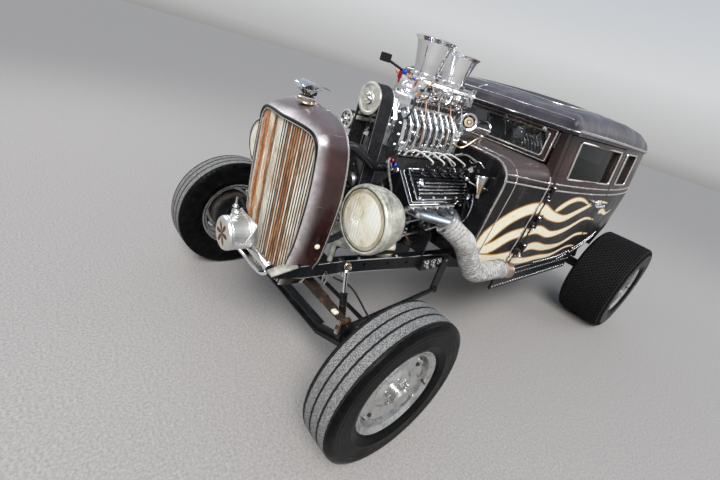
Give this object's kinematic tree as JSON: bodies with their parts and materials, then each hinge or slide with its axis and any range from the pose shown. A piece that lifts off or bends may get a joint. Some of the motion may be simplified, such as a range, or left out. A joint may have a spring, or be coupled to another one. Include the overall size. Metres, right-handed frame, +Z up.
{
  "type": "street rod sedan",
  "caption": "Chopped closed street rod with an open blown V8, narrow grille shell, dropped front axle and wide rear slicks; wheels, steering and doors move.",
  "frame": {"origin": "on the ground, under the middle of the car's bounding box", "axes": "+X to the car's left, -Y ahead, +Z up"},
  "size_m": [1.932, 3.45, 1.632],
  "materials": {
    "patina_paint": "worn dark maroon brown with dust",
    "door_black": "satin black, scuffed",
    "roof_paint": "dull purple grey",
    "frame_black": "satin black",
    "rusty_iron": "rusted",
    "rusty_bars": "chrome gone to rust",
    "polished_aluminium": "polished, dulled",
    "chrome": "plated",
    "header_wrap": "fibre wrap, sooty",
    "belt_rubber": "ribbed",
    "tyre_rubber": "dusty",
    "rim_silver": "satin silver",
    "glass": "clear",
    "lamp_glass": "amber, ribbed",
    "tan_leather": "worn"
  },
  "bodies": {
    "chassis": {"bench_seat": "tan_leather", "blower_case": "polished_aluminium", "body_glass": "glass", "body_tub": "patina_paint", "cowl": "patina_paint", "crossmembers": "frame_black", "cylinder_heads": "polished_aluminium", "dashboard": "patina_paint", "drive_belt": "belt_rubber", "engine_block": "frame_black", "exhaust_headers": "header_wrap", "firewall": "patina_paint", "floor_pan": "frame_black", "frame_rails": "frame_black", "front_axle": "frame_black", "front_spring": "rusty_iron", "fuel_canister": "polished_aluminium", "gearbox": "polished_aluminium", "grille_bars": "rusty_bars", "grille_shell": "patina_paint", "headlamp_buckets": "polished_aluminium", "headlamp_lenses": "lamp_glass", "injector_body": "polished_aluminium", "intake_manifold": "polished_aluminium", "radiator": "frame_black", "radiator_hose": "belt_rubber", "radius_rods": "frame_black", "rear_axle": "frame_black", "roof": "roof_paint", "shock_absorbers": "chrome", "valve_covers": "polished_aluminium", "velocity_stacks": "polished_aluminium", "windshield_frame": "patina_paint", "windshield_posts": "patina_paint"},
    "left_knuckle": {"left_knuckle": "frame_black"},
    "left_front_wheel": {"left_front_tyre": "tyre_rubber", "left_front_rim": "rim_silver"},
    "left_rear_wheel": {"left_rear_tyre": "tyre_rubber", "left_rear_rim": "rim_silver"},
    "left_door": {"left_door": "door_black", "left_door_glass": "glass"},
    "right_knuckle": {"right_knuckle": "frame_black"},
    "right_front_wheel": {"right_front_tyre": "tyre_rubber", "right_front_rim": "rim_silver"},
    "right_rear_wheel": {"right_rear_tyre": "tyre_rubber", "right_rear_rim": "rim_silver"},
    "right_door": {"right_door": "door_black", "right_door_glass": "glass"},
    "tie_rod": {"tie_rod": "frame_black"},
    "steering_wheel": {"steering_wheel": "belt_rubber"}
  },
  "joints": [
    {"name": "left_steer", "type": "hinge", "parent": "chassis", "child": "left_knuckle", "pos_m": [0.655, -1.325, 0.35], "axis": [0, 0, 1], "range_deg": [-28, 28]},
    {"name": "left_front_roll", "type": "hinge", "parent": "left_knuckle", "child": "left_front_wheel", "pos_m": [0.7815, -1.325, 0.35], "axis": [1, 0, 0], "continuous": true},
    {"name": "left_rear_roll", "type": "hinge", "parent": "chassis", "child": "left_rear_wheel", "pos_m": [0.783, 1.345, 0.38], "axis": [1, 0, 0], "continuous": true},
    {"name": "left_door_hinge", "type": "hinge", "parent": "chassis", "child": "left_door", "pos_m": [0.6057, -0.188, 0.9], "axis": [0, 0, -1], "range_deg": [0, 65]},
    {"name": "right_steer", "type": "hinge", "parent": "chassis", "child": "right_knuckle", "pos_m": [-0.655, -1.325, 0.35], "axis": [0, 0, 1], "range_deg": [-28, 28]},
    {"name": "right_front_roll", "type": "hinge", "parent": "right_knuckle", "child": "right_front_wheel", "pos_m": [-0.7815, -1.325, 0.35], "axis": [1, 0, 0], "continuous": true},
    {"name": "right_rear_roll", "type": "hinge", "parent": "chassis", "child": "right_rear_wheel", "pos_m": [-0.783, 1.345, 0.38], "axis": [1, 0, 0], "continuous": true},
    {"name": "right_door_hinge", "type": "hinge", "parent": "chassis", "child": "right_door", "pos_m": [-0.6057, -0.188, 0.9], "axis": [0, 0, 1], "range_deg": [0, 65]},
    {"name": "tie_rod_eye", "type": "hinge", "parent": "left_knuckle", "child": "tie_rod", "pos_m": [0.655, -1.17, 0.35], "axis": [0, 0, 1], "range_deg": [-28, 28]},
    {"name": "steering_wheel_turn", "type": "hinge", "parent": "chassis", "child": "steering_wheel", "pos_m": [0.33, 0.1, 1.0328], "axis": [0, 0.8721, 0.4893], "range_deg": [-336, 336]}
  ],
  "couplings": [
    {"joint": "right_steer", "follows": "left_steer", "ratio": 1},
    {"joint": "tie_rod_eye", "follows": "left_steer", "ratio": -1},
    {"joint": "steering_wheel_turn", "follows": "left_steer", "ratio": 12}
  ]
}
